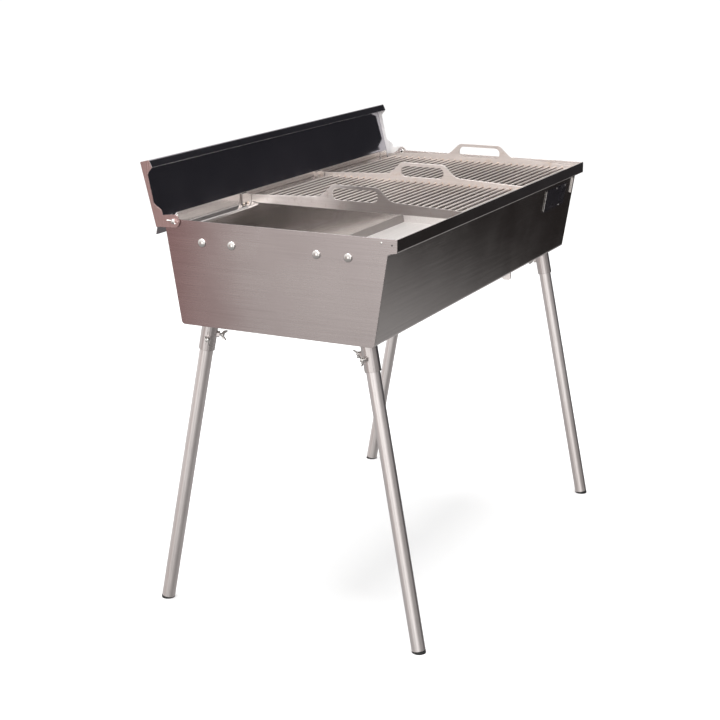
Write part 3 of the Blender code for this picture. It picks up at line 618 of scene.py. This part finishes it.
def cross_weld(number, x, way, y, centre_z):
    """The small weld where a bar crosses a flat."""
    side, level = x + way * 2.3 * MM, centre_z - 3.2 * MM
    path = straight((side, y - 2.6 * MM, level), (side, y + 2.6 * MM, level), 1.3 * MM)
    return bead(path, 1.1 * MM, number + x * 50, 6)


def build_racks():
    """Round bars, their cross flats and the small welds where they meet the grate plates."""
    for grate in ("left_grate", "right_grate"):
        low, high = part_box(f"{grate}_bars")
        centre_z = high.z - BAR_RADIUS
        first, last = low.y + BAR_RADIUS, high.y - BAR_RADIUS
        rows = [(i, first + (last - first) * i / (BAR_COUNT - 1)) for i in range(BAR_COUNT)]
        parts, welds = [], []
        for i, y in rows:
            parts.append(grate_bar(i, low, high, y, centre_z))
            welds += [bar_end_weld(i, x, way, y, centre_z) for x, way in ((low.x, 1), (high.x, -1))]
        for x in (low.x + CROSS_FLAT_INSET, high.x - CROSS_FLAT_INSET):
            parts.append(cross_flat(x, first, last, low.z, centre_z - BAR_RADIUS / 2))
            welds += [cross_weld(i, x, way, y, centre_z) for i, y in rows for way in (-1, 1)]
        piece(f"{grate}_rods", joined(parts), "bar", grate, (f"{grate}_bars",))
        piece(f"{grate}_rod_welds", joined(welds), "weld", grate)


def joint_of(body):
    return next(j for j in frame["joints"] if j["child"] == body)


def wing_piece(body, base, place, rod=()):
    """A forged wing nut, or with a threaded rod a wing screw. Base is where its hub starts along the rod."""
    hub = [(0, base), (5.4 * MM, base), (6.0 * MM, base + 0.6 * MM), (5.8 * MM, base + 3 * MM),
           (4.6 * MM, base + 6.2 * MM), (4.0 * MM, base + 6.9 * MM), (0, base + 6.9 * MM)]
    whole = joined([turned(hub), forged_wings(5 * MM, base), *rod])
    whole.transform(place)
    piece(f"{body}_forged", whole, "hardware", body, (body,), FITTING_SHARP_ANGLE)


def build_wing_screws():
    for corner in CORNERS:
        for label, turn in SCREW_TURN.items():
            body = f"wing_screw_{corner}_{label}"
            joint = joint_of(body)
            place = along(joint["pos_m"], joint["axis"]) @ Matrix.Rotation(turn, 4, "Z")
            rod = thread(3.6 * MM, 0.3 * MM, 14 * MM, 1.25 * MM, 0.5 * MM)
            wing_piece(body, SCREW_HUB_OUT, place, (rod,))


def build_wing_nuts():
    for body, turn in NUT_TURN.items():
        low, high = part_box(body)
        joint = joint_of(body)
        outward = Vector(joint["axis"])
        face = low.x if outward.x > 0 else high.x
        place = along((face, joint["pos_m"][1], joint["pos_m"][2]), outward)
        wing_piece(body, 0.0, place @ Matrix.Rotation(turn, 4, "Z"))


def build_hinge_studs():
    """Threaded studs; the right one has a thin flat head on its inner end."""
    for end, way in (("left", -1), ("right", 1)):
        node = f"hinge_stud_{end}"
        low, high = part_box(node)
        middle = (low + high) / 2
        parts = [thread(3 * MM, 0, high.x - low.x, 1 * MM, 0.42 * MM)]
        if end == "right":
            head = [(0, 0), (6.4 * MM, 0), (7 * MM, 0.5 * MM), (7 * MM, 1.6 * MM), (0, 1.6 * MM)]
            parts.append(turned(head))
        whole = joined(parts)
        inner = low.x if end == "right" else high.x
        whole.transform(along((inner, middle.y, middle.z), (way, 0, 0)))
        piece(f"{node}_threaded", whole, "hardware", "firebox", (node,))


def build_cup_bolts():
    """Low domed heads with a rolled rim."""
    for end, side in (("left", -1), ("right", 1)):
        for number in (1, 2, 3, 4):
            node = f"cup_bolt_{end}_{number}"
            low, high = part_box(node)
            middle = (low + high) / 2
            radius = (high.z - low.z) / 2
            outer, inner = (low.x, high.x) if side < 0 else (high.x, low.x)
            seat = outer - side * BOLT_HEAD_DEPTH
            rim = 0.9 * MM
            profile = [(0, 0), (radius - 0.5 * MM, 0), (radius, 0.4 * MM),
                       *dome(radius, BOLT_HEAD_DEPTH - rim, rim, 12)]
            rod = thread(4 * MM, -abs(inner - seat), 0.2 * MM, 1.25 * MM, 0.5 * MM)
            whole = joined([turned(profile, 40), rod])
            whole.transform(along((seat, middle.y, middle.z), (side, 0, 0)))
            piece(f"{node}_head", whole, "hardware", "firebox", (node,),
                  FITTING_SHARP_ANGLE)


def build_legs():
    """Smooth tubes with chamfered ends, and a weld bead round the top of each socket."""
    mounts = {m["name"]: Vector(m["pos_m"]) for m in record["mounts"]}
    weld_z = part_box("trough_shell")[0].z - 0.9 * MM
    for corner in CORNERS:
        body = f"leg_{corner}"
        up = -Vector(joint_of(body)["axis"]).normalized()
        foot = mounts[f"foot_{corner}"]
        place = along(foot, up)
        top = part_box(f"leg_tube_{corner}")[1].z
        length = (top - TUBE_OUTER * math.sqrt(1 - up.z ** 2)) / up.z
        shoulder = TUBE_OUTER - TUBE_CHAMFER
        profile = [(TUBE_INNER, TUBE_START), (shoulder, TUBE_START), (TUBE_OUTER, TUBE_START + TUBE_CHAMFER),
                   (TUBE_OUTER, length - TUBE_CHAMFER), (shoulder, length), (TUBE_INNER, length),
                   (TUBE_INNER, TUBE_START)]
        piece(f"leg_tube_{corner}_drawn", turned(profile, 64, place), "tube", body,
              (f"leg_tube_{corner}",))
        spots = [place @ spot for spot in circle(SOCKET_WELD_RADIUS, 96)]
        ring = [spot + up * ((weld_z - spot.z) / up.z) for spot in spots]
        weld = bead(ring, 1.5 * MM, foot.x, closed=True)
        piece(f"socket_weld_{corner}", weld, "weld", "firebox")


def rivet(radius, height, place):
    sunk = -0.3 * MM
    return turned([(0, sunk), (radius, sunk), *dome(radius, height, 0, 6)], 24, place)


def build_name_plate_details():
    """Three rivets and a bright folded left edge; the plate itself is blank."""
    low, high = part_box("name_plate")
    lean = (high.y - low.y - NAME_PLATE_THICK) / (high.z - low.z)
    outward = Vector((0, -1, -lean)).normalized()

    def on_face(x, z):
        return Vector((x, high.y - NAME_PLATE_THICK - lean * (z - low.z), z))

    spots = ((low.x + 79 * MM, high.z - 4 * MM), (high.x - 8 * MM, high.z - 5 * MM),
             (high.x - 38 * MM, low.z + 4 * MM))
    rivets = [rivet(2.6 * MM, 1.2 * MM, along(on_face(x, z), outward)) for x, z in spots]
    piece("name_plate_rivets", joined(rivets), "hardware", "firebox")
    edge = [on_face(low.x + 0.6 * MM, low.z + (high.z - low.z) * i / 24) for i in range(25)]
    piece("name_plate_edge", bead(edge, 0.9 * MM, 3.0), "hardware", "firebox")


def build_end_plate_marks():
    """A small rivet, and a dark disc that paints the shade of a pin hole, in the left end plate's tab."""
    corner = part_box("end_plate_left")[0]
    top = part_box("trough_shell")[1].z
    outward = (-1, 0, 0)
    place = along((corner.x, corner.y + 37 * MM, top - 9.5 * MM), outward)
    piece("end_plate_rivet", rivet(2.8 * MM, 1.6 * MM, place), "hardware", "firebox")
    # The pin hole is a dark disc: painted shade in place of a hole.
    profile = [(0, -1 * MM), (1.9 * MM, -1 * MM), (1.9 * MM, 0.1 * MM), (1.2 * MM, 0.25 * MM), (0, 0.25 * MM)]
    pin = turned(profile, 20, along((corner.x, corner.y + 12 * MM, top - 12.5 * MM), outward))
    piece("end_plate_pin_hole_shade", pin, "pin", "firebox")


def build_small_welds():
    """Short beads that hold the grate stops and the floor tab."""
    parts = []
    step, radius = 1.2 * MM, 1.3 * MM
    for number in (1, 2, 3):
        low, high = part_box(f"grate_stop_{number}")
        y, z = low.y - 0.2 * MM, low.z - 0.3 * MM
        for x in (low.x + 6 * MM, high.x - 8 * MM):
            parts.append(bead(straight((x - 4 * MM, y, z), (x + 4 * MM, y, z), step), radius, number))
    low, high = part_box("floor_tab")
    z = high.z - 0.9 * MM
    for x in (low.x - 0.4 * MM, high.x + 0.4 * MM):
        parts.append(bead(straight((x, low.y + 2 * MM, z), (x, high.y - 2 * MM, z), step), radius, x))
    piece("fitting_welds", joined(parts), "weld", "firebox")


# ---------------------------------------------------------------- stage

def build_floor():
    """A plain near-white floor, which the metal does not mirror."""
    mesh = bpy.data.meshes.new("floor")
    corners = [(x * FLOOR_REACH, y * FLOOR_REACH, 0) for x, y in ((-1, -1), (1, -1), (1, 1), (-1, 1))]
    mesh.from_pydata(corners, [], [(0, 1, 2, 3)])
    floor = bpy.data.objects.new("floor", mesh)
    bpy.context.scene.collection.objects.link(floor)
    material, _, shader = new_material("floor_white")
    shader.inputs["Base Color"].default_value = (FLOOR_SHADE, FLOOR_SHADE, FLOOR_SHADE, 1)
    shader.inputs["Roughness"].default_value = 0.9
    shader.inputs["Specular IOR Level"].default_value = 0.0
    mesh.materials.append(material)
    floor.visible_glossy = False


def mirrored_colour(g):
    """What the metal mirrors: darker towards the ground and at the front right, pinkish at the rear left."""
    direction = g.add("ShaderNodeTexCoord").outputs["Generated"]
    height = g.axes(direction)["Z"]

    def toward(lobe):
        aim, low, high = lobe
        return g.ranged(g.dot(direction, Vector(aim).normalized()), low, high)

    ramp = g.add("ShaderNodeValToRGB")
    g.put(g.ranged(height, -1, 1, 0, 1, smooth=False), ramp.inputs[0])
    elements = ramp.color_ramp.elements
    for position, _ in SKY_STOPS[1:-1]:
        elements.new(position)
    for element, (position, value) in zip(elements, SKY_STOPS):
        element.position = position
        element.color = (*(value * tint for tint in SKY_TINT), 1)
    dark = g.math("MULTIPLY", toward(DARK_SIDE), g.ranged(height, *DARK_SIDE_BOTTOM))
    dark = g.math("MULTIPLY", dark, g.ranged(height, *DARK_SIDE_TOP))
    colour = g.mix(dark, ramp.outputs[0], g.mix(g.ranged(height, *DARK_SIDE_CHANGE), DARK_LOW, DARK_HIGH))
    colour = g.mix(g.math("MULTIPLY", toward(FRONT_FLAG), FRONT_FLAG_AMOUNT), colour, FRONT_FLAG_COLOUR)
    for lobe, lobe_colour in LOBES:
        colour = g.mix(toward(lobe), colour, lobe_colour)
    return colour


def build_world():
    """A white studio that lights evenly, with a shaded surround that only mirror reflections see."""
    world = bpy.data.worlds.new("studio")
    bpy.context.scene.world = world
    world.use_nodes = True
    world.node_tree.nodes.clear()
    g = Graph(world.node_tree)
    mirrored = g.add("ShaderNodeBackground")
    g.put(mirrored_colour(g), mirrored.inputs["Color"])
    plain = g.add("ShaderNodeBackground")
    plain.inputs["Color"].default_value = (1, 1, 1, 1)
    plain.inputs["Strength"].default_value = ROOM_STRENGTH
    choose = g.add("ShaderNodeMixShader")
    g.put(g.add("ShaderNodeLightPath").outputs["Is Glossy Ray"], choose.inputs[0])
    g.put(plain.outputs[0], choose.inputs[1])
    g.put(mirrored.outputs[0], choose.inputs[2])
    output = g.add("ShaderNodeOutputWorld")
    g.put(choose.outputs[0], output.inputs["Surface"])


def area_light(name, location, target, size, power):
    """A rectangular softbox at a location, aimed at a target."""
    light = bpy.data.lights.new(name, "AREA")
    light.shape = "RECTANGLE"
    light.size, light.size_y = size
    light.energy = power
    item = bpy.data.objects.new(name, light)
    bpy.context.scene.collection.objects.link(item)
    item.location = location
    item.rotation_euler = (Vector(target) - Vector(location)).to_track_quat("-Z", "Y").to_euler()


def build_lights():
    area_light("top_softbox", (0.0, 0.2, 3.6), (0, 0, 0.8), (3.5, 2.5), 110)
    area_light("left_softbox", (-3.4, -2.2, 2.6), (0, 0, 0.7), (1.6, 1.6), 35)


def build_camera():
    """The view from the front left, slightly above."""
    data = bpy.data.cameras.new("camera")
    data.sensor_width = 36
    data.lens = CAMERA_LENS
    data.clip_end = 200
    azimuth, elevation, roll = (math.radians(v) for v in CAMERA_ANGLES)
    back = Vector((math.sin(azimuth) * math.cos(elevation), -math.cos(azimuth) * math.cos(elevation),
                   math.sin(elevation)))
    level = Vector((math.cos(azimuth), math.sin(azimuth), 0))
    rise = back.cross(level)
    right = level * math.cos(roll) + rise * math.sin(roll)
    turn = Matrix((right, back.cross(right), back)).transposed().to_4x4()
    camera = bpy.data.objects.new("camera", data)
    camera.matrix_world = Matrix.Translation(CAMERA_PLACE) @ turn
    bpy.context.scene.collection.objects.link(camera)
    bpy.context.scene.camera = camera


paint_cad_nodes()
build_racks()
build_wing_screws()
build_wing_nuts()
build_hinge_studs()
build_cup_bolts()
build_legs()
build_name_plate_details()
build_end_plate_marks()
build_small_welds()
build_floor()
build_world()
build_lights()
build_camera()
bpy.context.scene.view_settings.view_transform = "Standard"
